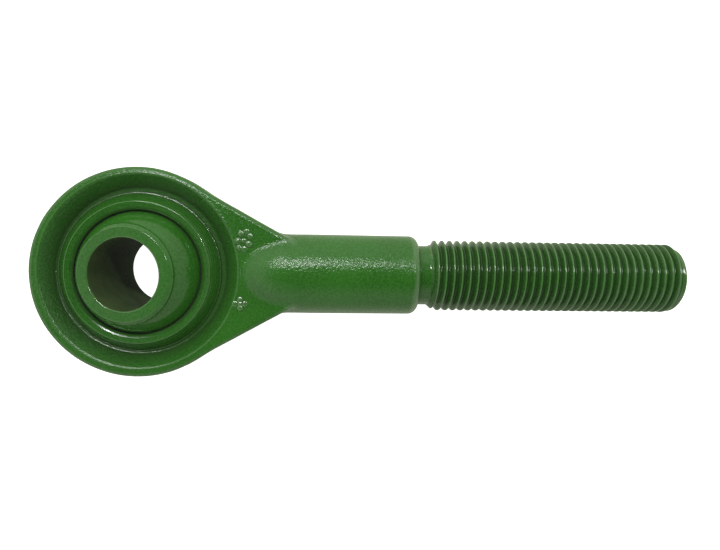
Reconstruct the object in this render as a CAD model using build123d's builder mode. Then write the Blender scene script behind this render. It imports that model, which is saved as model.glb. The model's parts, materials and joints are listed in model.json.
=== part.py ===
"""Heavy-duty rod end bearing with a left-hand external thread.

Frame: millimetres, +Z up. The origin is the centre of the ball and of the eye. +X runs along
the shank to the threaded end, and +Z is the axis of the eye.

Pieces: a forged rod body (eye, web, shank and thread), two race halves staked into the eye,
a dry liner between race and ball, and the bored ball. The ball is stored tilted in its race.
"""

import os
from math import cos, radians, sin, sqrt, tan

from build123d import *

# ---------------------------------------------------------------- driving dimensions (mm)
# Eye and web
eye_radius = 37.7            # outside of the eye
eye_half_width = 10.0        # half the thickness of eye and web
edge_round = 1.8             # forged rounding of their outer edges
side_angle = 61.2            # direction of the normal of the web's straight side, in degrees
side_distance = 37.2         # distance of that side from the centre of the eye
web_end_y = 6.0              # half-width at which the web ends, inside the shank

# Recess in each face of the eye, forged a little off the bored seat's centre
recess_radius = 34.4         # where the recess meets the face
recess_edge_round = 0.6
recess_offset_x = 0.6
recess_offset_y = 0.4
ledge_radius = 29.4          # foot of the recess's sloping wall
ledge_height = 5.3           # height of the ledge above the mid-plane

# Race
race_radius = 28.9           # outside of the race, and bore of the eye
race_chamfer_start = 4.9     # height where the race's outer chamfer begins
race_crest_outer = 25.2      # outer edge of the race's dished face
race_half_width = 10.1       # the race's face stands just proud of the eye
race_dish = 0.6              # how far that face falls towards the ball
stake_top = 5.8              # the eye's metal is rolled over the race's chamfer up to here
stake_width = 0.3            # thickness of that rolled edge at its top
stake_foot = 0.7             # how much thicker it is at its foot
stake_root = 4.6             # height at which its foot lies inside the eye

# Ball, liner and running gaps
ball_radius = 23.3
ball_width = 34.9
neck_radius = 17.5           # the short plain neck at each end of the ball
neck_chamfer = 1.1
bore_radius = 12.7           # takes a 25.4 mm pin
bore_chamfer = 0.6
running_gap = 0.05           # radial, ball to liner and liner to race
liner_thickness = 0.4
liner_half_width = 8.6
ball_rest_tilt = 10.0        # how far the stored ball leans, in degrees
ball_rest_heading = 189.0    # the way it leans, in degrees from +X about +Z

# Shank
shank_radius = 14.9
nose_centre = 49.5           # the shank's round nose is a ball about this point of its axis
nose_fillet = 1.6            # where the nose runs down to the flat of the web
nose_width = 11.5            # the nose's edges on the flat lie nearer than this to the X axis
shoulder_x = 101.4           # end of the plain shank
shoulder_round = 3.2

# Thread, M27 x 3 left-hand
thread_radius = 13.5
thread_pitch = 3.0
undercut_radius = 11.3
undercut_end_x = 105.6
thread_start_x = 107.8       # end of the run-in cone
thread_end_x = 204.0
end_chamfer_length = 2.0
end_chamfer_depth = 1.6

# Plain raised pads on the flat of the web, as forging marks
pad_height = 0.4
pad_x = 37.2
pad_y = 12.0
pad_length = 8.0
pad_width = 5.5
dot_x = 36.0
dot_y = -10.8
dot_radius = 2.3

# ---------------------------------------------------------------- derived sizes
ball_half_width = ball_width / 2
liner_inner_radius = ball_radius + running_gap
liner_outer_radius = liner_inner_radius + liner_thickness
race_bore_radius = liner_outer_radius + running_gap
race_slope = (race_radius - race_crest_outer) / (race_half_width - race_chamfer_start)
thread_depth = 0.6134 * thread_pitch
thread_root_radius = thread_radius - thread_depth
groove_root_half = thread_pitch / 12
groove_overshoot = 0.2       # how far the groove's cutting profile stands out of the crest
groove_turns = 34
groove_start_x = 103.0

lean = radians(ball_rest_tilt)
heading = radians(ball_rest_heading)
ball_axis = Vector(sin(lean) * cos(heading), sin(lean) * sin(heading), cos(lean))
ball_side = Vector(cos(lean) * cos(heading), cos(lean) * sin(heading), -sin(lean))

os.makedirs("parts", exist_ok=True)


def on_sphere(radius, height):
    """A point of a round section: the radius of a sphere at a height, and that height."""
    return (sqrt(radius**2 - height**2), height)


def race_chamfer_radius(height):
    """Radius of the race's outer chamfer at a height above the mid-plane."""
    return race_radius - (height - race_chamfer_start) * race_slope


def on_nose(edge):
    """True for the edges where the shank's round nose meets the flat of the web."""
    middle = edge.center()
    return middle.X > nose_centre - shank_radius and abs(middle.Y) < nose_width


def save(builder, name):
    """Label the piece and write its STEP file."""
    builder.part.label = name
    export_step(builder.part, f"parts/{name}.step")


# ---------------------------------------------------------------- rod body
# The web's straight sides touch the eye and run on into the shank, where they end.
side_normal = (cos(radians(side_angle)), sin(radians(side_angle)))
side_start = (side_distance * side_normal[0], side_distance * side_normal[1])
side_end = ((side_distance - web_end_y * side_normal[1]) / side_normal[0], web_end_y)

with BuildPart() as rod_body:
    # eye and web: one flat forging of even thickness
    with BuildSketch(Plane.XY.offset(-eye_half_width)):
        Circle(eye_radius)
        with BuildLine():
            Line((0, 0), side_start)
            Line(side_start, side_end)
            Line(side_end, (side_end[0], 0))
            mirror(about=Plane.XZ)
        make_face()
    extrude(amount=2 * eye_half_width)

    # shank, undercut and thread blank, turned about the X axis
    with BuildSketch(Plane.XZ):
        with BuildLine():
            Line((nose_centre - shank_radius, 0), (thread_end_x, 0))
            Line((thread_end_x, 0), (thread_end_x, thread_radius - end_chamfer_depth))
            Line(
                (thread_end_x, thread_radius - end_chamfer_depth),
                (thread_end_x - end_chamfer_length, thread_radius),
            )
            Line((thread_end_x - end_chamfer_length, thread_radius), (thread_start_x, thread_radius))
            Line((thread_start_x, thread_radius), (undercut_end_x, undercut_radius))
            Line((undercut_end_x, undercut_radius), (shoulder_x, undercut_radius))
            Line((shoulder_x, undercut_radius), (shoulder_x, shank_radius - shoulder_round))
            RadiusArc(
                (shoulder_x, shank_radius - shoulder_round),
                (shoulder_x - shoulder_round, shank_radius),
                -shoulder_round,
            )
            Line((shoulder_x - shoulder_round, shank_radius), (nose_centre, shank_radius))
            RadiusArc((nose_centre, shank_radius), (nose_centre - shank_radius, 0), -shank_radius)
        make_face()
    revolve(axis=Axis.X)

    # rounded outer edges, and the nose of the shank blended down to the flat of the web
    flats = rod_body.faces().filter_by(Axis.Z)
    rim_edges = flats.edges().filter_by(lambda e: not on_nose(e))
    fillet(rim_edges, edge_round)
    nose_edges = rod_body.faces().filter_by(Axis.Z).edges().filter_by(on_nose)
    fillet(nose_edges, nose_fillet)

    # plain raised forging marks
    for side in (1, -1):
        with BuildSketch(Plane.XY.offset(side * (eye_half_width - 1))):
            with Locations((pad_x, pad_y)):
                Ellipse(pad_length / 2, pad_width / 2, rotation=60)
            with Locations((dot_x, dot_y)):
                Circle(dot_radius)
        extrude(amount=side * (pad_height + 1))

    # recess in each face, and the bore that seats the race
    recess_section = Plane((recess_offset_x, recess_offset_y, 0), x_dir=(1, 0, 0), z_dir=(0, -1, 0))
    with BuildSketch(recess_section):
        for side in (1, -1):
            Polygon(
                (0, side * ledge_height),
                (ledge_radius, side * ledge_height),
                (recess_radius, side * eye_half_width),
                (recess_radius, side * (eye_half_width + 1)),
                (0, side * (eye_half_width + 1)),
                align=None,
            )
    revolve(axis=Axis((recess_offset_x, recess_offset_y, 0), (0, 0, 1)), mode=Mode.SUBTRACT)
    recess_edges = rod_body.faces().filter_by(Axis.Z).edges().filter_by(GeomType.CIRCLE)
    recess_edges = recess_edges.filter_by(lambda e: abs(e.radius - recess_radius) < 0.01)
    fillet(recess_edges, recess_edge_round)
    with BuildSketch(Plane.XZ):
        with BuildLine():
            for side in (1, -1):
                Polyline(
                    (race_radius, 0),
                    (race_radius, side * race_chamfer_start),
                    (race_chamfer_radius(ledge_height), side * ledge_height),
                    (race_chamfer_radius(ledge_height), side * (ledge_height + 1)),
                    (0, side * (ledge_height + 1)),
                )
            Line((0, ledge_height + 1), (0, -ledge_height - 1))
        make_face()
    revolve(axis=Axis.Z, mode=Mode.SUBTRACT)

    # the seat's edge, rolled over the race's chamfer on both sides
    with BuildSketch(Plane.XZ):
        for side in (1, -1):
            Polygon(
                (race_radius, side * stake_root),
                (race_radius, side * race_chamfer_start),
                (race_chamfer_radius(stake_top), side * stake_top),
                (race_chamfer_radius(stake_top) + stake_width, side * stake_top),
                (race_chamfer_radius(stake_top) + stake_width + stake_foot, side * stake_root),
                align=None,
            )
    revolve(axis=Axis.Z)

# The thread's groove follows a helix of one-turn lengths, the other way round from a
# right-hand screw, from the undercut to past the end of the shank.
with BuildPart() as groove:
    with BuildLine() as groove_path:
        for turn in range(groove_turns):
            Helix(
                pitch=thread_pitch,
                height=thread_pitch,
                radius=thread_root_radius,
                center=(groove_start_x + turn * thread_pitch, 0, 0),
                direction=(1, 0, 0),
                lefthand=True,
            )
    with BuildSketch(Plane.XZ):
        cutter_top = thread_radius + groove_overshoot
        cutter_half = groove_root_half + (cutter_top - thread_root_radius) * tan(radians(30))
        with BuildLine():
            Polyline(
                (groove_start_x - groove_root_half, thread_root_radius),
                (groove_start_x - cutter_half, cutter_top),
                (groove_start_x + cutter_half, cutter_top),
                (groove_start_x + groove_root_half, thread_root_radius),
                close=True,
            )
        make_face()
    sweep(path=groove_path.wires()[0], is_frenet=True)

with rod_body:
    add(groove.part, mode=Mode.SUBTRACT)
save(rod_body, "rod_body")

# ---------------------------------------------------------------- race halves
# The race is parted at the mid-plane, so that it can close over the ball from both sides.
for side, name in ((1, "race_half_upper"), (-1, "race_half_lower")):
    lip_height = race_half_width - race_dish
    lip = (on_sphere(race_bore_radius, lip_height)[0], side * lip_height)
    with BuildPart() as race_half:
        with BuildSketch(Plane.XZ):
            with BuildLine():
                Polyline(
                    (race_bore_radius, 0),
                    (race_radius, 0),
                    (race_radius, side * race_chamfer_start),
                    (race_crest_outer, side * race_half_width),
                    lip,
                )
                RadiusArc(lip, (race_bore_radius, 0), side * race_bore_radius)
            make_face()
        revolve(axis=Axis.Z)
    save(race_half, name)

# ---------------------------------------------------------------- liner
with BuildPart() as ball_liner:
    with BuildSketch(Plane.XZ):
        inner_low = (on_sphere(liner_inner_radius, liner_half_width)[0], -liner_half_width)
        inner_high = (inner_low[0], liner_half_width)
        outer_low = (on_sphere(liner_outer_radius, liner_half_width)[0], -liner_half_width)
        outer_high = (outer_low[0], liner_half_width)
        with BuildLine():
            RadiusArc(inner_low, inner_high, -liner_inner_radius)
            Line(inner_high, outer_high)
            RadiusArc(outer_high, outer_low, liner_outer_radius)
            Line(outer_low, inner_low)
        make_face()
    revolve(axis=Axis.Z)
save(ball_liner, "ball_liner")

# ---------------------------------------------------------------- ball
ball_section = Plane(origin=(0, 0, 0), x_dir=ball_side, z_dir=ball_side.cross(ball_axis))
with BuildPart() as ball:
    neck_foot = sqrt(ball_radius**2 - neck_radius**2)
    with BuildSketch(ball_section):
        with BuildLine():
            RadiusArc((neck_radius, neck_foot), (neck_radius, -neck_foot), ball_radius)
            for side in (1, -1):
                Polyline(
                    (neck_radius, side * neck_foot),
                    (neck_radius, side * (ball_half_width - neck_chamfer)),
                    (neck_radius - neck_chamfer, side * ball_half_width),
                    (bore_radius + bore_chamfer, side * ball_half_width),
                    (bore_radius, side * (ball_half_width - bore_chamfer)),
                )
            Line(
                (bore_radius, ball_half_width - bore_chamfer),
                (bore_radius, bore_chamfer - ball_half_width),
            )
        make_face()
    revolve(axis=Axis((0, 0, 0), ball_axis))
save(ball, "ball")

for piece, name in ((rod_body, "rod_body"), (ball_liner, "ball_liner"), (ball, "ball")):
    print(name, round(piece.part.volume, 1), "mm3")
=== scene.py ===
"""Looks of a painted rod end bearing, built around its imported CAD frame.

Meshes are worked out in millimetres, in the frame's own axes: the origin is the centre of the
ball and of the eye, +X runs along the shank to the threaded end, +Z is the axis of the eye.
They become metres when they are turned into Blender objects.
"""

import json
import math

import bmesh
import bpy
import numpy as np
from mathutils import Matrix, Vector, noise


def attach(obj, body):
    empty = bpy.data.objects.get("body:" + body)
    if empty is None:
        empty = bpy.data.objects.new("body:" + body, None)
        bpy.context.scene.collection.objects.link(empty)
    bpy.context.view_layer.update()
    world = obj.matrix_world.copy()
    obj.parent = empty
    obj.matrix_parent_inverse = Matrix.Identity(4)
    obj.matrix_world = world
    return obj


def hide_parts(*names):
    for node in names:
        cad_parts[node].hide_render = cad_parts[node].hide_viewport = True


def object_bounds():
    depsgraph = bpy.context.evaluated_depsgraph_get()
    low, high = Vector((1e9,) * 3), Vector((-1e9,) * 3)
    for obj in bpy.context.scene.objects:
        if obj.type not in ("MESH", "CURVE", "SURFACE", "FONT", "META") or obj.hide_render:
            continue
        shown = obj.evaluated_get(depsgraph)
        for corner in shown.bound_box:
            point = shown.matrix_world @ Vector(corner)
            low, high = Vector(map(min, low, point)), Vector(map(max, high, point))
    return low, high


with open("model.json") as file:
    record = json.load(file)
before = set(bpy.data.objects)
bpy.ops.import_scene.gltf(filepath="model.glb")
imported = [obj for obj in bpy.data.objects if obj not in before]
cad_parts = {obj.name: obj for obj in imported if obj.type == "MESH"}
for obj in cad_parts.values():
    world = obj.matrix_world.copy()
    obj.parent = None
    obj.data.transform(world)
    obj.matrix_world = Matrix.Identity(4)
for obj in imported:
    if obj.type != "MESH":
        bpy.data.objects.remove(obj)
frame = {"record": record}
cad_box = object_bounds()

MM = 0.001

# ---------------------------------------------------------------- sizes of the design (mm)
EYE_RADIUS = 37.7
EYE_HALF_WIDTH = 10.0
RIM_ROUND = 1.8
SIDE_ANGLE = math.radians(61.2)
SIDE_DISTANCE = 37.2
SIDE_DRAFT = 0.02            # how much the forging narrows towards its faces, per mm
EYE_TO_WEB_BLEND = 1.0
WEB_TO_SHANK_BLEND = 1.4

RECESS_CENTRE = np.array([0.6, 0.4, 0])      # the forged recess is a little off the race's axis
RECESS_RADIUS = 34.4
RIDGE_RADIUS = 34.8          # crest of the slight burr around the recess
RIDGE_HEIGHT = 0.1
SEAM_RADIUS = 35.2           # where the recess meets the forged skin
LEDGE_RADIUS = 29.4
LEDGE_HEIGHT = 5.3
LEDGE_HEIGHT_LIMIT = 5.6     # the ledge is at most this high, where the wall comes near the stake
RACE_RADIUS = 28.9
RACE_CHAMFER_START = 4.9
RACE_CREST_OUTER = 25.2
RACE_LIP_RADIUS = 23.4       # inside of this the race's face falls away to the ball
RACE_HALF_WIDTH = 10.1
RACE_DISH = 0.6
RACE_BORE_RADIUS = 23.8
STAKE_TOP = 5.8
STAKE_WIDTH = 0.4
STAKE_FOOT_RADIUS = 28.85    # outside of the stake where it stands on the ledge

BALL_RADIUS = 23.3
BALL_HALF_WIDTH = 17.45
NECK_RADIUS = 17.5
NECK_CHAMFER = 1.1
BORE_RADIUS = 12.7
LINER_INNER_RADIUS = 23.35
LINER_OUTER_RADIUS = 23.75
LINER_HALF_WIDTH = 8.6

SHANK_RADIUS = 14.9
NOSE_CENTRE = 53.5
NOSE_LENGTH = 21.5           # the shank's nose is half an ellipsoid this long
SHANK_START = 62.0           # from here on the shank is a plain round bar
SHOULDER_X = 101.4
SHOULDER_ROUND = 3.2

THREAD_RADIUS = 13.5
PITCH = 3.0
THREAD_DEPTH = 0.6134 * PITCH
UNDERCUT_RADIUS = 11.3
UNDERCUT_END = 105.6
RUN_IN_END = 107.8
THREAD_START = 103.1         # first cut across the helical mesh, inside the undercut
THREAD_END = 204.0
GROOVE_PHASE = 103.0         # where one groove crosses the top of the bar
END_CHAMFER_LENGTH = 2.0
END_CHAMFER_DEPTH = 1.6

END_ROUND = 0.5              # rounding of the bar's free end
BAR_BLEND = 0.5              # how softly the cones of the bar run into its cylinders

# how finely the meshes are divided
BAR_SEGMENTS = 96
OUTLINE_SEGMENTS = 264
SKIN_ROWS = 32
RACE_SEGMENTS = 192
BALL_SEGMENTS = 160
MARK_SEGMENTS = 16
WELD = 0.0003                # points closer than this become one


# ---------------------------------------------------------------- mesh helpers
def full_turn(count):
    """Angles evenly round a circle."""
    return np.linspace(0, 2 * math.pi, count + 1)[:-1]


class Shell:
    """Points and faces of one piece, in millimetres."""

    def __init__(self):
        self.points = []
        self.faces = []

    def add_grid(self, rows, close_rows=False, close_columns=False):
        """A grid of quads from an array of points, rows by columns."""
        rows = np.asarray(rows, float)
        row_count, column_count = rows.shape[:2]
        start = len(self.points)
        self.points.extend(map(tuple, rows.reshape(-1, 3)))
        for i in range(row_count if close_rows else row_count - 1):
            for j in range(column_count if close_columns else column_count - 1):
                next_i = (i + 1) % row_count
                next_j = (j + 1) % column_count
                self.faces.append(
                    (
                        start + i * column_count + j,
                        start + i * column_count + next_j,
                        start + next_i * column_count + next_j,
                        start + next_i * column_count + j,
                    )
                )

    def to_object(self, name):
        """Weld the points that meet, point all faces outwards and make a smooth Blender object."""
        mesh = bpy.data.meshes.new(name)
        scaled = [(x * MM, y * MM, z * MM) for x, y, z in self.points]
        mesh.from_pydata(scaled, [], self.faces)
        work = bmesh.new()
        work.from_mesh(mesh)
        bmesh.ops.remove_doubles(work, verts=work.verts, dist=WELD * MM)
        bmesh.ops.dissolve_degenerate(work, edges=work.edges, dist=1e-7)
        bmesh.ops.recalc_face_normals(work, faces=work.faces)
        work.to_mesh(mesh)
        work.free()
        for polygon in mesh.polygons:
            polygon.use_smooth = True
        mark_hollows(mesh)
        piece = bpy.data.objects.new(name, mesh)
        bpy.context.scene.collection.objects.link(piece)
        return piece


def mark_hollows(mesh):
    """Store on each vertex how hollow (above 0.5) or sharp (below 0.5) the surface is there."""
    smoothing_rounds = 2
    gain = 2.5
    count = len(mesh.vertices)
    places = np.empty(count * 3)
    mesh.vertices.foreach_get("co", places)
    places = places.reshape(-1, 3)
    normals = np.empty(count * 3)
    mesh.vertices.foreach_get("normal", normals)
    normals = normals.reshape(-1, 3)
    ends = np.empty(len(mesh.edges) * 2, int)
    mesh.edges.foreach_get("vertices", ends)
    ends = ends.reshape(-1, 2)
    step = places[ends[:, 1]] - places[ends[:, 0]]
    length = np.maximum(np.linalg.norm(step, axis=1), 1e-9)
    rise_a = (step * normals[ends[:, 0]]).sum(1) / length
    rise_b = -(step * normals[ends[:, 1]]).sum(1) / length
    hollow = np.zeros(count)
    share = np.zeros(count)
    np.add.at(hollow, ends[:, 0], rise_a)
    np.add.at(hollow, ends[:, 1], rise_b)
    np.add.at(share, ends[:, 0], 1)
    np.add.at(share, ends[:, 1], 1)
    hollow /= np.maximum(share, 1)
    for _ in range(smoothing_rounds):
        spread = hollow.copy()
        np.add.at(spread, ends[:, 0], hollow[ends[:, 1]])
        np.add.at(spread, ends[:, 1], hollow[ends[:, 0]])
        hollow = spread / (share + 1)
    attribute = mesh.attributes.new("hollow", "FLOAT", "POINT")
    attribute.data.foreach_set("value", np.clip(0.5 + gain * hollow, 0, 1).astype(np.float32))


def rounded(corners, step=math.radians(15), guard=0.05, pieces=None):
    """Points of a section whose corners (across, along, rounding) are turned into arcs.

    A guard point on each side of an arc keeps the shading of the straight runs even. Every arc
    has the same number of pieces if that is given, so that sections match point by point.
    """
    points = []
    for i, (x, y, radius) in enumerate(corners):
        here = np.array([x, y], float)
        if radius == 0 or i in (0, len(corners) - 1):
            points.append(here)
            continue
        before = np.array(corners[i - 1][:2], float) - here
        after = np.array(corners[i + 1][:2], float) - here
        before_length = np.linalg.norm(before)
        after_length = np.linalg.norm(after)
        before /= before_length
        after /= after_length
        half = math.acos(np.clip(before @ after, -1, 1)) / 2
        reach = radius / math.tan(half)
        middle = before + after
        centre = here + middle / np.linalg.norm(middle) * radius / math.sin(half)
        first = here + before * reach - centre
        last = here + after * reach - centre
        turn = math.pi - 2 * half
        count = pieces or max(2, round(turn / step))
        if pieces or before_length > reach + 2 * guard:
            points.append(here + before * (reach + guard))
        for k in range(count + 1):
            part = k / count
            point = first * math.sin((1 - part) * turn) + last * math.sin(part * turn)
            points.append(centre + point / math.sin(turn))
        if pieces or after_length > reach + 2 * guard:
            points.append(here + after * (reach + guard))
    return np.array(points)


def lathe(section, angles, side=(1, 0, 0), other=(0, 1, 0), axis=(0, 0, 1)):
    """Points of a section (radius, height) turned about an axis: angles by section."""
    side, other, axis = (np.asarray(v, float) for v in (side, other, axis))
    radius = section[:, 0][None, :, None]
    height = section[:, 1][None, :, None]
    cosine = np.cos(angles)[:, None, None]
    sine = np.sin(angles)[:, None, None]
    return radius * (cosine * side + sine * other) + height * axis


def on_sphere(radius, height):
    """Radius of a sphere's section at a height."""
    return math.sqrt(radius**2 - height**2)


def arc_section(radius, low, high, count):
    """Points of a sphere's section from one height to another, evenly turned."""
    turns = np.linspace(math.asin(low / radius), math.asin(high / radius), count)
    return np.stack([radius * np.cos(turns), radius * np.sin(turns)], 1)


def smooth_min(a, b, width):
    """The smaller of two distances, blended where they are closer than width."""
    near = np.maximum(width - np.abs(a - b), 0) / width
    return np.minimum(a, b) - near**2 * width / 4


# ---------------------------------------------------------------- rod body: the forged skin
def forging(points):
    """Distance of points from the skin of the forging: eye, web and shank, blended together."""
    x, y, z = points[..., 0], points[..., 1], points[..., 2]
    circle = np.hypot(x, y) - EYE_RADIUS
    side = x * math.cos(SIDE_ANGLE) + np.abs(y) * math.sin(SIDE_ANGLE) - SIDE_DISTANCE
    behind = np.abs(y) * math.cos(SIDE_ANGLE) - x * math.sin(SIDE_ANGLE)
    plan = smooth_min(circle, np.maximum(side, behind), EYE_TO_WEB_BLEND)
    across = plan + SIDE_DRAFT * np.abs(z) + RIM_ROUND
    up = np.abs(z) - EYE_HALF_WIDTH + RIM_ROUND
    outside = np.hypot(np.maximum(across, 0), np.maximum(up, 0))
    plate = outside + np.minimum(np.maximum(across, up), 0) - RIM_ROUND
    nose = np.maximum(NOSE_CENTRE - x, 0) * SHANK_RADIUS / NOSE_LENGTH
    shank = np.sqrt(nose**2 + y**2 + z**2) - SHANK_RADIUS
    return smooth_min(plate, shank, WEB_TO_SHANK_BLEND)


def hit_skin(starts, directions, reach):
    """Where rays that start inside the forging leave it, found by halving."""
    halvings = 40
    low = np.zeros(directions.shape[:-1])
    high = np.full(directions.shape[:-1], float(reach))
    for _ in range(halvings):
        middle = (low + high) / 2
        inside = forging(starts + directions * middle[..., None]) < 0
        low = np.where(inside, middle, low)
        high = np.where(inside, high, middle)
    return starts + directions * low[..., None]


def resample(curves, count, turn_share=0.5):
    """Each curve again with count points, closer together where it turns."""
    step = np.diff(curves, axis=1)
    length = np.linalg.norm(step, axis=2)
    heading = step / np.maximum(length[..., None], 1e-9)
    turn = np.arccos(np.clip((heading[:, 1:] * heading[:, :-1]).sum(2), -1, 1))
    turn = np.pad(turn, ((0, 0), (0, 1)))
    measure = (1 - turn_share) * length / length.sum(1, keepdims=True)
    measure = measure + turn_share * turn / turn.sum(1, keepdims=True)
    along = np.pad(np.cumsum(measure, axis=1), ((0, 0), (1, 0)))
    wanted = np.linspace(0, 1, count)
    result = np.empty((len(curves), count, 3))
    for i, curve in enumerate(curves):
        for k in range(3):
            result[i, :, k] = np.interp(wanted * along[i, -1], along[i], curve[:, k])
    return result


def skin_edge():
    """The outer ends of the skin's curves: the parting line, then over the top of the shank."""
    ray_count = 4000
    corner = math.atan2(SHANK_RADIUS, SHANK_START)
    azimuth = np.linspace(corner, 2 * math.pi - corner, ray_count)
    rays = np.stack([np.cos(azimuth), np.sin(azimuth), np.zeros_like(azimuth)], 1)
    line = hit_skin(np.zeros_like(rays), rays, 2 * SHANK_START)
    line[0] = (SHANK_START, SHANK_RADIUS, 0)
    line[-1] = (SHANK_START, -SHANK_RADIUS, 0)
    line = resample(line[None], OUTLINE_SEGMENTS + 1, turn_share=0)[0]
    over = np.linspace(math.pi, 0, BAR_SEGMENTS // 2 + 1)[1:-1]
    top = np.stack(
        [
            np.full_like(over, SHANK_START),
            SHANK_RADIUS * np.cos(over),
            SHANK_RADIUS * np.sin(over),
        ],
        1,
    )
    inner_line = np.arctan2(line[:, 1], line[:, 0])
    inner_top = -corner + 2 * corner * np.arange(1, len(over) + 1) / (len(over) + 1)
    return np.concatenate([line, top]), np.concatenate([inner_line, inner_top])


def forged_skin():
    """The top half of the forging's skin as curves from the recess to the parting line."""
    points_per_curve = 240
    edge, angles = skin_edge()
    ring = np.stack([np.cos(angles), np.sin(angles), np.zeros_like(angles)], 1) * SEAM_RADIUS
    ring += RECESS_CENTRE
    outwards = edge - ring
    outwards /= np.linalg.norm(outwards, axis=1, keepdims=True)
    up = np.array([0, 0, 1.0])
    opening = np.arccos(np.clip(outwards[:, 2], -1, 1))
    part = np.linspace(0, 1, points_per_curve)
    turn = opening[:, None] * part
    weight_up = np.sin(opening[:, None] - turn) / np.sin(opening[:, None])
    weight_out = np.sin(turn) / np.sin(opening[:, None])
    rays = weight_up[..., None] * up + weight_out[..., None] * outwards[:, None, :]
    starts = np.broadcast_to(ring[:, None, :], rays.shape)
    curves = hit_skin(starts, rays, SHANK_START)
    curves[:, 0] = ring + up * EYE_HALF_WIDTH
    curves[:, -1] = edge
    curves = resample(curves, SKIN_ROWS)
    curves[:, 0] = ring + up * EYE_HALF_WIDTH
    curves[:, -1] = edge
    return roughen(curves), angles


def roughen(curves):
    """Give the forged skin the slight waviness of a hammered surface, none at its seams."""
    most_depth = 0.16
    broad_wave, narrow_wave = 9.0, 3.5
    fade_at_seam, fade_at_bar = 2.5, 6
    small = 0.02
    flat = curves.reshape(-1, 3)
    slope = np.stack(
        [forging(flat + small * axis) - forging(flat - small * axis) for axis in np.eye(3)], 1
    )
    slope /= np.maximum(np.linalg.norm(slope, axis=1, keepdims=True), 1e-9)
    from_seam = np.linalg.norm((flat - RECESS_CENTRE)[:, :2], axis=1) - SEAM_RADIUS
    from_bar = SHANK_START - flat[:, 0]
    fade = np.clip(from_seam / fade_at_seam, 0, 1) * np.clip(from_bar / fade_at_bar, 0, 1)
    wave = np.array(
        [
            0.6 * noise.noise(Vector(p) / broad_wave) + 0.4 * noise.noise(Vector(p) / narrow_wave)
            for p in flat
        ]
    )
    depth = most_depth * (0.5 + 0.5 * wave) * fade
    flat = flat - slope * depth[:, None]
    result = flat.reshape(curves.shape)
    result[:OUTLINE_SEGMENTS + 1, -1, 2] = 0
    return result


# ---------------------------------------------------------------- rod body: turned parts
def race_chamfer_radius(height):
    """Radius of the race's outer chamfer at a height above the mid-plane."""
    slope = (RACE_RADIUS - RACE_CREST_OUTER) / (RACE_HALF_WIDTH - RACE_CHAMFER_START)
    return RACE_RADIUS - (height - RACE_CHAMFER_START) * slope


def eye_bore_rows(angles):
    """Points of the recess, the rolled stake and the bore: angles by section.

    The recess runs about its own centre, the stake and the bore about the race's axis.
    """
    wall_slope = (EYE_HALF_WIDTH - LEDGE_HEIGHT) / (RECESS_RADIUS - LEDGE_RADIUS)
    ease = 0.5                   # the foot of the wall starts with a gentler run this long
    ease_slope = 0.45
    least_ledge = 0.12           # the ledge is never narrower than this
    ridge_width, ridge_drop = 0.2, 0.17
    stake_rise, stake_fall = 0.07, 0.03    # the stake's top leans up towards the race
    stake_inner = race_chamfer_radius(STAKE_TOP)
    rows = []
    for angle in angles:
        along = np.array([math.cos(angle), math.sin(angle), 0])
        across = np.array([-math.sin(angle), math.cos(angle), 0])
        shift = RECESS_CENTRE @ along
        foot = max(LEDGE_RADIUS + shift, STAKE_FOOT_RADIUS + least_ledge)
        height = LEDGE_HEIGHT + (foot - LEDGE_RADIUS - shift) * wall_slope
        height = min(height, LEDGE_HEIGHT_LIMIT)
        top = rounded(
            [
                (SEAM_RADIUS + shift, EYE_HALF_WIDTH, 0),
                (RIDGE_RADIUS + shift, EYE_HALF_WIDTH + RIDGE_HEIGHT, 0.25),
                (RECESS_RADIUS - ridge_width + shift, EYE_HALF_WIDTH - ridge_drop, 0.5),
                (foot + ease, height + ease_slope * ease, 0.6),
                (foot, height, 0.2),
                (STAKE_FOOT_RADIUS, height, 0.06),
                (stake_inner + STAKE_WIDTH, STAKE_TOP - stake_fall, 0.12),
                (stake_inner, STAKE_TOP + stake_rise, 0.05),
                (RACE_RADIUS, RACE_CHAMFER_START, 0),
                (RACE_RADIUS, 0, 0),
            ],
            guard=0.01,
            pieces=2,
        )
        in_recess = top[:, 0] > foot - least_ledge / 2
        sideways = np.where(in_recess, RECESS_CENTRE @ across, 0)
        upper = top[:, :1] * along + sideways[:, None] * across + top[:, 1:] * (0, 0, 1)
        rows.append(np.concatenate([upper, upper[:-1][::-1] * (1, 1, -1)]))
    return np.array(rows)


def bar_section(x):
    """Radius of the undercut, the run-in cone, the thread blank and its end, along the bar."""
    run_in = UNDERCUT_RADIUS + (x - UNDERCUT_END) * (THREAD_RADIUS - UNDERCUT_RADIUS) / (
        RUN_IN_END - UNDERCUT_END
    )
    cone = np.maximum(run_in, UNDERCUT_RADIUS)
    blank = smooth_min(cone, np.full_like(x, THREAD_RADIUS), BAR_BLEND)
    chamfer = THREAD_RADIUS - (x - THREAD_END + END_CHAMFER_LENGTH) * (
        END_CHAMFER_DEPTH / END_CHAMFER_LENGTH
    )
    past = np.clip(x - THREAD_END + END_ROUND, 0, END_ROUND)
    corner = END_ROUND - np.sqrt(END_ROUND**2 - past**2)
    return smooth_min(blank, chamfer, BAR_BLEND) - corner


def thread_section():
    """Half of one pitch of the thread, from the middle of a groove to the middle of a crest.

    Each point is (distance from the groove's middle, share of the thread's depth). The points
    just beside the root's end and the crest's start round those two corners.
    """
    root_half = PITCH / 12
    crest_start = PITCH / 2 - PITCH / 16
    return [
        (0.0, 1.0),
        (root_half - 0.06, 0.99),
        (root_half + 0.05, 0.93),
        (crest_start - 0.09, 0.075),
        (crest_start - 0.01, 0.018),
        (crest_start + 0.07, 0.0),
        (PITCH / 2, 0.0),
    ]


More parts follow.
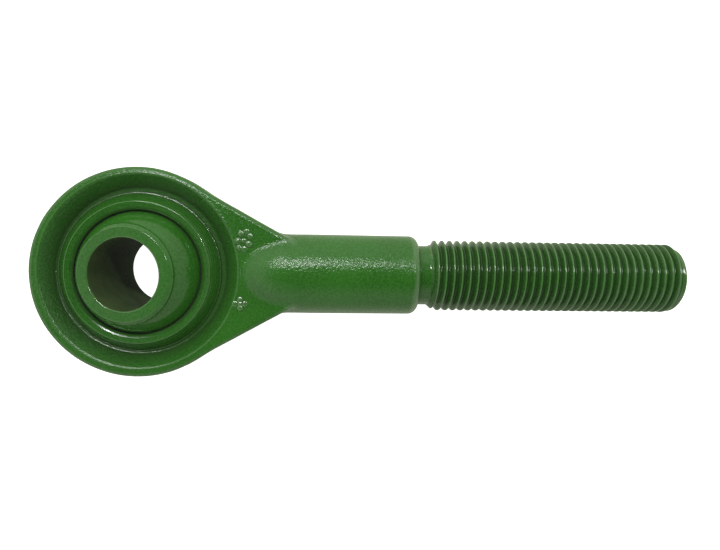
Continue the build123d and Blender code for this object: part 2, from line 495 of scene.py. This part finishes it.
def thread_lines():
    """The threaded bar as lines along X, one for each angle, and how many columns a pitch has.

    Each line is a list of (place, column, radius). The columns follow the left-hand helix, so
    that crests and roots run along the mesh's edges.
    """
    margin = 0.02
    last_turn = math.ceil((THREAD_END - GROOVE_PHASE) / PITCH)
    half = thread_section()
    pitch_points = half + [(PITCH - a, d) for a, d in half[-2:0:-1]]
    lines = []
    for i in range(BAR_SEGMENTS):
        lead = PITCH * i / BAR_SEGMENTS
        line = [(THREAD_START, None, UNDERCUT_RADIUS)]
        for turn in range(-2, last_turn + 1):
            for k, (across, share) in enumerate(pitch_points):
                x = GROOVE_PHASE + PITCH * turn + lead + across
                if not THREAD_START + margin < x < THREAD_END - margin:
                    continue
                blank = float(bar_section(np.array(x)))
                radius = min(blank, THREAD_RADIUS - share * THREAD_DEPTH)
                line.append((x, turn * len(pitch_points) + k, radius))
        line.append((THREAD_END, None, float(bar_section(np.array(THREAD_END)))))
        lines.append(line)
    return lines, len(pitch_points)


def columns_of(line, start, shift=0):
    """Which point of the shell each column of a line is."""
    return {
        column - shift: start + k for k, (_, column, _) in enumerate(line) if column is not None
    }


def add_thread(shell):
    """Stitch neighbouring lines of the threaded bar together."""
    lines, columns = thread_lines()
    starts = []
    for i, line in enumerate(lines):
        starts.append(len(shell.points))
        angle = 2 * math.pi * i / BAR_SEGMENTS
        for x, _, radius in line:
            shell.points.append((x, radius * math.sin(angle), radius * math.cos(angle)))
    for i, line in enumerate(lines):
        other = (i + 1) % BAR_SEGMENTS
        # past the last angle the helix has gained one pitch
        shift = columns if other == 0 else 0
        here = columns_of(line, starts[i])
        there = columns_of(lines[other], starts[other], shift)
        shared = sorted(set(here) & set(there))
        for a, b in zip(shared, shared[1:]):
            shell.faces.append((here[a], here[b], there[b], there[a]))
        first, last = shared[0], shared[-1]
        low = [starts[i] + k for k in range(here[first] - starts[i] + 1)]
        low_there = [starts[other] + k for k in range(there[first] - starts[other] + 1)]
        shell.faces.append(tuple(low + low_there[::-1]))
        high = list(range(here[last], starts[i] + len(line)))
        high_there = list(range(there[last], starts[other] + len(lines[other])))
        shell.faces.append(tuple(high + high_there[::-1]))
    add_bar_end(shell, lines[0][-1][2])


def add_bar_end(shell, end_radius):
    """The flat free end of the bar, with faint turning rings."""
    guard = 0.05
    widest_ring, narrowest_ring, ring_spacing, ring_depth = 10.5, 0.4, 0.5, 0.02
    turns = full_turn(BAR_SEGMENTS)
    radii = [end_radius, end_radius - guard]
    radii += list(np.arange(widest_ring, narrowest_ring, -ring_spacing))
    depth = [0, 0] + [ring_depth * (k % 2) for k in range(len(radii) - 2)]
    rows = [
        np.stack(
            [np.full_like(turns, THREAD_END - d), r * np.sin(turns), r * np.cos(turns)], 1
        )
        for r, d in zip(radii, depth)
    ]
    rows.append(np.tile([THREAD_END, 0, 0], (BAR_SEGMENTS, 1)))
    shell.add_grid(rows, close_columns=True)


def add_shank(shell):
    """The plain round shank from the forged skin to the undercut."""
    section = rounded(
        [
            (SHANK_START, SHANK_RADIUS, 0),
            (SHOULDER_X, SHANK_RADIUS, SHOULDER_ROUND),
            (SHOULDER_X, UNDERCUT_RADIUS, 0.2),
            (THREAD_START, UNDERCUT_RADIUS, 0),
        ],
        step=math.radians(8),
    )
    row_spacing = 2.0
    plain = np.arange(SHANK_START, SHOULDER_X - SHOULDER_ROUND - row_spacing / 2, row_spacing)
    straight = np.stack([plain, np.full_like(plain, SHANK_RADIUS)], 1)
    section = np.concatenate([straight, section[1:]])
    swapped = section[:, ::-1]
    turns = full_turn(BAR_SEGMENTS)
    rows = lathe(swapped, turns, side=(0, 0, 1), other=(0, 1, 0), axis=(1, 0, 0))
    shell.add_grid(rows, close_rows=True)


def add_boss(shell, centre, radii, turn, height, dome=0.35):
    """A low oval boss on both faces of the web, with a rounded edge.

    The steps are shares of its radii and of its height, from its foot inside the web to its top.
    """
    steps = [
        (1.12, -0.4),
        (1.04, 0.0),
        (0.97, 0.6),
        (0.9, 0.88),
        (0.8, 1.0),
        (0.4, 1.0 + dome / 2),
    ]
    sunk = 0.15
    angles = full_turn(MARK_SEGMENTS)
    base = EYE_HALF_WIDTH - sunk
    for side in (1, -1):
        rows = [np.tile([centre[0], centre[1], side * (base - height)], (len(angles), 1))]
        for scale, share in steps:
            x = radii[0] * scale * np.cos(angles)
            y = radii[1] * scale * np.sin(angles)
            rows.append(
                np.stack(
                    [
                        centre[0] + x * math.cos(turn) - y * math.sin(turn),
                        centre[1] + x * math.sin(turn) + y * math.cos(turn),
                        np.full_like(x, side * (base + height * share)),
                    ],
                    1,
                )
            )
        top = side * (base + height * (1 + dome / 2))
        rows.append(np.tile([centre[0], centre[1], top], (len(angles), 1)))
        shell.add_grid(rows, close_columns=True)


def add_pips(shell, centre, radii, turn, count, height=0.4):
    """A plain forging mark: small round pips on an oval, around one in the middle."""
    add_boss(shell, centre, (0.9, 1.1), turn, height, dome=1.0)
    for k in range(count):
        angle = 2 * math.pi * k / count
        x = radii[0] * math.cos(angle)
        y = radii[1] * math.sin(angle)
        place = (
            centre[0] + x * math.cos(turn) - y * math.sin(turn),
            centre[1] + x * math.sin(turn) + y * math.cos(turn),
        )
        # the pips differ a little from each other
        size = (1.0 + 0.2 * (k % 3), 1.15)
        add_boss(shell, place, size, angle + turn, height * (0.75 + 0.25 * (k % 2)), dome=0.8)


def make_rod_body():
    """Eye, web, shank and thread as one piece."""
    shell = Shell()
    skin, angles = forged_skin()
    shell.add_grid(skin, close_rows=True)
    shell.add_grid(skin * (1, 1, -1), close_rows=True)
    shell.add_grid(eye_bore_rows(angles), close_rows=True)
    add_shank(shell)
    add_thread(shell)
    add_pips(shell, (37.2, 12.0), (3.3, 2.1), math.radians(75), 7)
    add_pips(shell, (36.0, -10.8), (1.7, 1.5), 0, 4)
    return shell.to_object("rod_body_forging")


# ---------------------------------------------------------------- race halves, liner and ball
def make_race_half(name, side):
    """One half of the race, with turning rings on its outer chamfer and on its dished face."""
    lip_height = RACE_HALF_WIDTH - RACE_DISH
    lip_radius = on_sphere(RACE_BORE_RADIUS, lip_height)
    dish = RACE_DISH / (RACE_CREST_OUTER - lip_radius)
    step_height = RACE_HALF_WIDTH - (RACE_CREST_OUTER - RACE_LIP_RADIUS) * dish
    lip_chamfer, lip_chamfer_drop = 0.5, 0.22
    foot_height = lip_height - lip_chamfer
    foot_radius = on_sphere(RACE_BORE_RADIUS, foot_height) + 0.02
    top = rounded(
        [
            (RACE_RADIUS, 0, 0),
            (RACE_RADIUS, RACE_CHAMFER_START, 0.1),
            (RACE_CREST_OUTER, RACE_HALF_WIDTH, 0.35),
            (RACE_LIP_RADIUS, step_height, 0.3),
            (RACE_LIP_RADIUS - lip_chamfer, step_height - lip_chamfer_drop, 0.3),
            (foot_radius, foot_height, 0),
        ]
    )
    bore = arc_section(RACE_BORE_RADIUS, 0, foot_height - 0.1, 16)[::-1]
    ringed = add_rings(add_rings(top, spacing=1.0, depth=0.1), spacing=0.6, depth=0.04)
    section = np.concatenate([ringed, bore])
    turns = full_turn(RACE_SEGMENTS)
    shell = Shell()
    shell.add_grid(lathe(section * (1, side), turns), close_rows=True, close_columns=True)
    return shell.to_object(name)


def add_rings(section, spacing, depth):
    """Cut shallow turning rings into the longest sloping run of a section."""
    step = np.diff(section, axis=0)
    length = np.hypot(step[:, 0], step[:, 1])
    sloping = np.abs(step[:, 0]) * np.abs(step[:, 1]) > 0
    k = int(np.argmax(length * sloping))
    normal = np.array([-step[k, 1], step[k, 0]]) / length[k]
    count = int(length[k] / spacing)
    points = [section[: k + 1]]
    for ring in range(count):
        for part, share in ((0.15, 0.0), (0.45, 1.0), (0.6, 1.0), (0.85, 0.0)):
            place = section[k] + step[k] * (ring + part) / count
            points.append((place + normal * depth * share)[None])
    points.append(section[k + 1:])
    return np.concatenate(points)


def make_liner():
    """The dry liner: a narrow band of a sphere."""
    inner = arc_section(LINER_INNER_RADIUS, -LINER_HALF_WIDTH, LINER_HALF_WIDTH, 25)
    outer = arc_section(LINER_OUTER_RADIUS, -LINER_HALF_WIDTH, LINER_HALF_WIDTH, 25)
    section = np.concatenate([inner, outer[::-1]])
    shell = Shell()
    shell.add_grid(lathe(section, full_turn(BALL_SEGMENTS)), close_rows=True, close_columns=True)
    return shell.to_object("ball_liner_band")


def ball_axis():
    """The axis of the ball's bore, as the frame's record gives it."""
    bore = next(m for m in frame["record"]["mounts"] if m["name"] == "ball_bore")
    return Vector(bore["axis"]).normalized()


def make_ball():
    """The bored ball, turned about its own leaning axis."""
    axis = ball_axis()
    other = axis.cross(Vector((1, 0, 0))).normalized()
    side = other.cross(axis)
    foot = on_sphere(BALL_RADIUS, NECK_RADIUS)
    neck = rounded(
        [
            (NECK_RADIUS, foot, 0),
            (NECK_RADIUS, BALL_HALF_WIDTH - NECK_CHAMFER, 0.35),
            (NECK_RADIUS - NECK_CHAMFER, BALL_HALF_WIDTH, 0.35),
            (BORE_RADIUS, BALL_HALF_WIDTH, 0.45),
            (BORE_RADIUS, 0, 0),
        ],
        step=math.radians(12),
    )
    sphere = arc_section(BALL_RADIUS, 0, foot - 0.5, 30)
    # one point stands for the small fillet between the sphere and the neck
    crease = np.array([(NECK_RADIUS + 0.12, foot + 0.02)])
    upper = np.concatenate([sphere, crease, neck[1:]])
    lower = upper[1:-1][::-1] * (1, -1)
    section = np.concatenate([upper, lower])
    turns = full_turn(BALL_SEGMENTS)
    shell = Shell()
    shell.add_grid(lathe(section, turns, side, other, axis), close_rows=True, close_columns=True)
    return shell.to_object("ball_bored")


# ---------------------------------------------------------------- materials
# the tones of each paint: two greens of the open surface, a darker green painted as shade in
# hollows and creases, and a paler green painted as a highlight on edges, also used for pale specks
PAINT_TONES = (
    (0.0128, 0.085, 0.0058),
    (0.0200, 0.113, 0.0100),
    (0.0100, 0.057, 0.0052),
    (0.0440, 0.155, 0.0240),
)
# the thread's tones in the same order: much darker painted shade in its roots and grooves, painted
# highlight on its crests
THREAD_TONES = (
    (0.0112, 0.070, 0.0056),
    (0.0172, 0.092, 0.0084),
    (0.0046, 0.019, 0.0030),
    (0.0480, 0.155, 0.0280),
)
# painted shade: the dull green that places near other surfaces are darkened towards
PAINTED_SHADE_TONE = (0.0190, 0.0310, 0.0150)
BORE_TONES = ((0.034, 0.062, 0.018), (0.052, 0.084, 0.026))
LINER_TONES = ((0.006, 0.008, 0.006), (0.016, 0.020, 0.014))

# scales of the paint's noises, the higher the finer
TONE_SCALE = 45
PIGMENT_SCALE = 1300
GLOSS_SCALE = 900
COARSE_PEEL_SCALE = 1000
FINE_PEEL_SCALE = 2600

FINE_PEEL_SHARE = 0.2        # height of the fine orange peel as a share of the coarse one's
GLOSS_SPREAD = 0.12          # how much rougher than its smoothest the paint gets
SHELTER_REACH = 14           # how near other surfaces shelter a place, in millimetres

# from which value to which an effect grows: of "hollow" for the first three, then of open sky
CREASE_SHADE_SPAN = (0.55, 0.9)
EDGE_HIGHLIGHT_SPAN = (0.44, 0.2)
GLINT_SPAN = (0.455, 0.36)
SHELTER_SPAN = (0.95, 0.4)


def node_tree(name):
    """A new material with a Principled shader. Returns the material, its nodes and links."""
    material = bpy.data.materials.new(name)
    material.use_nodes = True
    nodes = material.node_tree.nodes
    return material, nodes, material.node_tree.links


def add_noise(nodes, links, place, scale, detail=3.0, roughness=0.5):
    """A noise texture read at a place. Returns its value."""
    texture = nodes.new("ShaderNodeTexNoise")
    texture.inputs["Scale"].default_value = scale
    texture.inputs["Detail"].default_value = detail
    texture.inputs["Roughness"].default_value = roughness
    links.new(place, texture.inputs["Vector"])
    return texture.outputs["Fac"]


def remap(nodes, links, value, low, high, to_low, to_high):
    """A value stretched from one range to another, held at its ends."""
    node = nodes.new("ShaderNodeMapRange")
    node.inputs["From Min"].default_value = low
    node.inputs["From Max"].default_value = high
    node.inputs["To Min"].default_value = to_low
    node.inputs["To Max"].default_value = to_high
    links.new(value, node.inputs["Value"])
    return node.outputs["Result"]


def mix_colour(nodes, links, factor, first, second):
    """Two colours mixed by a factor. Each colour is three numbers or a socket."""
    node = nodes.new("ShaderNodeMix")
    node.data_type = "RGBA"
    links.new(factor, node.inputs["Factor"])
    for name, colour in (("A", first), ("B", second)):
        socket = next(s for s in node.inputs if s.name == name and s.type == "RGBA")
        if isinstance(colour, tuple):
            socket.default_value = (*colour, 1)
        else:
            links.new(colour, socket)
    return next(s for s in node.outputs if s.type == "RGBA")


def green_paint(name, peel, peel_size, gloss, shine, glint, shade, tones=PAINT_TONES):
    """Glossy green machine paint over steel.

    peel is the depth of its orange peel in millimetres, peel_size its width, gloss its roughness
    where it is smoothest, shine the strength of its reflections, glint how many times stronger
    they are on edges, and shade how far painted shade darkens it where other surfaces are near.
    The tones are the two greens of the open surface, a darker green that is painted shade in
    hollows and creases, and a paler green that is a painted highlight on edges and also tints
    random pale specks.
    """
    dark, light, crease_shade_tone, speck_and_edge_highlight = tones
    material, nodes, links = node_tree(name)
    shader = nodes["Principled BSDF"]
    place = nodes.new("ShaderNodeTexCoord").outputs["Object"]
    hollow = nodes.new("ShaderNodeAttribute")
    hollow.attribute_name = "hollow"

    tone = add_noise(nodes, links, place, TONE_SCALE, detail=4)
    tone = remap(nodes, links, tone, 0.3, 0.7, 0, 1)
    colour = mix_colour(nodes, links, tone, dark, light)
    pigment = add_noise(nodes, links, place, PIGMENT_SCALE, detail=1)
    pigment = remap(nodes, links, pigment, 0.36, 0.64, 0, 0.45)
    colour = mix_colour(nodes, links, pigment, colour, speck_and_edge_highlight)
    # painted shade: hollow places are turned towards the darker green, as if shade falls there
    painted_crease_shade = remap(nodes, links, hollow.outputs["Fac"], *CREASE_SHADE_SPAN, 0, 0.75)
    colour = mix_colour(nodes, links, painted_crease_shade, colour, crease_shade_tone)
    # painted highlight: sharp edges are turned towards the paler green, standing in for the bright
    # surroundings they reflect
    edge_highlight = remap(nodes, links, hollow.outputs["Fac"], *EDGE_HIGHLIGHT_SPAN, 0, 0.8)
    colour = mix_colour(nodes, links, edge_highlight, colour, speck_and_edge_highlight)
    # painted shade: ambient occlusion darkens the colour where other surfaces are near, as in the
    # recess, round the race and along the thread
    open_sky = nodes.new("ShaderNodeAmbientOcclusion")
    open_sky.samples = 8
    open_sky.inputs["Distance"].default_value = SHELTER_REACH * MM
    painted_shade_factor = remap(nodes, links, open_sky.outputs["AO"], *SHELTER_SPAN, 0, shade)
    colour = mix_colour(nodes, links, painted_shade_factor, colour, PAINTED_SHADE_TONE)
    links.new(colour, shader.inputs["Base Color"])
    edge_shine = remap(nodes, links, hollow.outputs["Fac"], *GLINT_SPAN, shine, glint * shine)
    links.new(edge_shine, shader.inputs["Specular IOR Level"])

    speck = add_noise(nodes, links, place, GLOSS_SCALE, detail=2)
    rough = remap(nodes, links, speck, 0.35, 0.65, gloss, gloss + GLOSS_SPREAD)
    links.new(rough, shader.inputs["Roughness"])

    coarse_scale = COARSE_PEEL_SCALE / peel_size
    fine_scale = FINE_PEEL_SCALE / peel_size
    coarse = add_noise(nodes, links, place, coarse_scale, detail=2, roughness=0.4)
    fine = add_noise(nodes, links, place, fine_scale, detail=2, roughness=0.5)
    bumps = nodes.new("ShaderNodeMath")
    bumps.operation = "MULTIPLY_ADD"
    links.new(fine, bumps.inputs[0])
    bumps.inputs[1].default_value = FINE_PEEL_SHARE
    links.new(coarse, bumps.inputs[2])
    bump = nodes.new("ShaderNodeBump")
    bump.inputs["Distance"].default_value = peel * MM
    bump.inputs["Strength"].default_value = 1.0
    links.new(bumps.outputs["Value"], bump.inputs["Height"])
    links.new(bump.outputs["Normal"], shader.inputs["Normal"])
    return material


def bore_finish():
    """Thin, dull overspray over bare steel, inside the ball's bore."""
    material, nodes, links = node_tree("dull_bore")
    shader = nodes["Principled BSDF"]
    place = nodes.new("ShaderNodeTexCoord").outputs["Object"]
    patches = add_noise(nodes, links, place, 160, detail=5)
    patches = remap(nodes, links, patches, 0.35, 0.65, 0, 1)
    colour = mix_colour(nodes, links, patches, *BORE_TONES)
    links.new(colour, shader.inputs["Base Color"])
    grain = add_noise(nodes, links, place, 2500, detail=2)
    rough = remap(nodes, links, grain, 0.3, 0.7, 0.5, 0.7)
    links.new(rough, shader.inputs["Roughness"])
    shader.inputs["Specular IOR Level"].default_value = 0.25
    bump = nodes.new("ShaderNodeBump")
    bump.inputs["Distance"].default_value = 0.02 * MM
    links.new(grain, bump.inputs["Height"])
    links.new(bump.outputs["Normal"], shader.inputs["Normal"])
    return material


def finish_turned(rod_body, undercut, thread):
    """Give the turned faces of the bar their own finishes: the undercut, then the thread."""
    shoulder = SHOULDER_X - 0.01
    rod_body.data.materials.append(undercut)
    rod_body.data.materials.append(thread)
    for polygon in rod_body.data.polygons:
        if polygon.center.x > UNDERCUT_END * MM:
            polygon.material_index = 2
        elif polygon.center.x > shoulder * MM:
            polygon.material_index = 1


def finish_bore(ball, material):
    """Give the faces of the ball's bore their own finish."""
    axis = ball_axis()
    just_outside = BORE_RADIUS + 0.05
    ball.data.materials.append(material)
    for polygon in ball.data.polygons:
        centre = polygon.center
        if (centre - axis * centre.dot(axis)).length < just_outside * MM:
            polygon.material_index = 1


def liner_fabric():
    """Dark woven dry liner, dusted with the paint that reached it."""
    material, nodes, links = node_tree("liner_fabric")
    shader = nodes["Principled BSDF"]
    place = nodes.new("ShaderNodeTexCoord").outputs["Object"]
    weave = nodes.new("ShaderNodeTexWave")
    weave.inputs["Scale"].default_value = 900
    weave.inputs["Distortion"].default_value = 2
    links.new(place, weave.inputs["Vector"])
    colour = mix_colour(nodes, links, weave.outputs["Fac"], *LINER_TONES)
    links.new(colour, shader.inputs["Base Color"])
    shader.inputs["Roughness"].default_value = 0.8
    bump = nodes.new("ShaderNodeBump")
    bump.inputs["Distance"].default_value = 0.05 * MM
    links.new(weave.outputs["Fac"], bump.inputs["Height"])
    links.new(bump.outputs["Normal"], shader.inputs["Normal"])
    return material


def light_table():
    """The pale floor, glowing as a light table does. It looks brighter than it lights the part."""
    glow_on_part, glow_seen = 0.2, 1.1
    material, nodes, links = node_tree("floor")
    shader = nodes["Principled BSDF"]
    shader.inputs["Base Color"].default_value = (0.55, 0.56, 0.46, 1)
    shader.inputs["Roughness"].default_value = 0.9
    shader.inputs["Specular IOR Level"].default_value = 0.1
    shader.inputs["Emission Color"].default_value = (1, 1, 1, 1)
    seen = nodes.new("ShaderNodeLightPath").outputs["Is Camera Ray"]
    glow = remap(nodes, links, seen, 0, 1, glow_on_part, glow_seen)
    links.new(glow, shader.inputs["Emission Strength"])
    return material


# ---------------------------------------------------------------- assembly
def dress(piece, body, node, material):
    """Paint a piece, let it ride on its body and stand for its CAD node."""
    piece.data.materials.append(material)
    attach(piece, body)
    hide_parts(node)


forged_paint = green_paint(
    "paint_on_forging", peel=0.15, peel_size=0.75, gloss=0.14, shine=0.38, glint=3.0, shade=0.9
)
turned_paint = green_paint(
    "paint_on_turned_steel", peel=0.02, peel_size=1.2, gloss=0.1, shine=0.42, glint=2.4, shade=0.4
)
thread_paint = green_paint(
    "paint_on_thread",
    peel=0.03,
    peel_size=1.0,
    gloss=0.1,
    shine=0.24,
    glint=3.0,
    shade=0.65,
    tones=THREAD_TONES,
)

rod_body = make_rod_body()
dress(rod_body, "rod_end", "rod_body", forged_paint)
finish_turned(rod_body, turned_paint, thread_paint)
race_upper = make_race_half("race_half_upper_ring", 1)
dress(race_upper, "rod_end", "race_half_upper", turned_paint)
race_lower = make_race_half("race_half_lower_ring", -1)
dress(race_lower, "rod_end", "race_half_lower", turned_paint)
dress(make_liner(), "liner", "ball_liner", liner_fabric())
ball = make_ball()
dress(ball, "ball", "ball", turned_paint)
finish_bore(ball, bore_finish())

# ---------------------------------------------------------------- floor, lights and camera
floor_height = cad_box[0][2]
floor_mesh = bpy.data.meshes.new("floor")
half_floor = 3.0
floor_mesh.from_pydata(
    [(x * half_floor, y * half_floor, 0) for x, y in ((-1, -1), (1, -1), (1, 1), (-1, 1))],
    [],
    [(0, 1, 2, 3)],
)
floor = bpy.data.objects.new("floor", floor_mesh)
floor.location = (0.08, 0, floor_height)
floor_mesh.materials.append(light_table())
bpy.context.scene.collection.objects.link(floor)


def soft_light(name, off_axis, azimuth, distance, size, power, target):
    """A strip lamp aimed at the part from a direction given off the Z axis and about it."""
    lamp = bpy.data.lights.new(name, "AREA")
    lamp.energy = power
    lamp.shape = "RECTANGLE"
    lamp.size, lamp.size_y = size
    tilt = math.radians(off_axis)
    turn = math.radians(azimuth)
    heading = Vector(
        (math.sin(tilt) * math.cos(turn), math.sin(tilt) * math.sin(turn), math.cos(tilt))
    )
    light = bpy.data.objects.new(name, lamp)
    light.location = Vector(target) + heading * distance
    light.rotation_euler = heading.to_track_quat("Z", "Y").to_euler()
    bpy.context.scene.collection.objects.link(light)


soft_light(
    "key", off_axis=33, azimuth=105, distance=0.9, size=(0.4, 0.05), power=4.0, target=(0.07, 0, 0)
)
soft_light(
    "side", off_axis=31, azimuth=50, distance=0.9, size=(0.05, 0.05), power=1.8, target=(0.19, 0, 0)
)

world = bpy.data.worlds.new("studio")
bpy.context.scene.world = world
world.use_nodes = True
sky = world.node_tree.nodes
sky_links = world.node_tree.links
direction = sky.new("ShaderNodeTexCoord")


def towards(heading):
    """How far each direction of the world points along a heading."""
    node = sky.new("ShaderNodeVectorMath")
    node.operation = "DOT_PRODUCT"
    node.inputs[1].default_value = heading
    sky_links.new(direction.outputs["Generated"], node.inputs[0])
    return node.outputs["Value"]


# a pale tent around the part, with a dark opening overhead that fades from one angle to another
opening_lean = math.radians(8)
opening_edge = math.radians(58)
opening_core = math.radians(26)
tent_light, opening_light = 1.05, 0.12
opening = Vector((math.sin(opening_lean), 0, math.cos(opening_lean)))
tent = remap(
    sky,
    sky_links,
    towards(opening),
    math.cos(opening_edge),
    math.cos(opening_core),
    tent_light,
    opening_light,
)
tent.node.interpolation_type = "SMOOTHSTEP"
brighter_heading = (-0.8, 0.6, 0)
dim_share, bright_share = 0.65, 1.25
brighter_side = remap(
    sky, sky_links, towards(brighter_heading), -1, 1, dim_share, bright_share
)
strength = sky.new("ShaderNodeMath")
strength.operation = "MULTIPLY"
sky_links.new(tent, strength.inputs[0])
sky_links.new(brighter_side, strength.inputs[1])
sky_links.new(strength.outputs["Value"], sky["Background"].inputs["Strength"])
sky["Background"].inputs["Color"].default_value = (1.0, 0.985, 0.91, 1)

camera_data = bpy.data.cameras.new("camera")
camera_data.sensor_width = 36.0
camera_data.lens = 29.58
camera_data.clip_start = 0.01
camera_data.clip_end = 20
camera = bpy.data.objects.new("camera", camera_data)
camera_place = (0.0603, 0.0092, 0.2250)
camera_roll, camera_yaw, camera_pitch = -0.013, 0.087, 0.042    # radians
turned = (
    Matrix.Rotation(camera_roll, 3, "Z")
    @ Matrix.Rotation(camera_yaw, 3, "Y")
    @ Matrix.Rotation(camera_pitch, 3, "X")
)
camera.matrix_world = Matrix.Translation(camera_place) @ turned.transposed().to_4x4()
bpy.context.scene.collection.objects.link(camera)
bpy.context.scene.camera = camera
bpy.context.scene.view_settings.view_transform = "Standard"
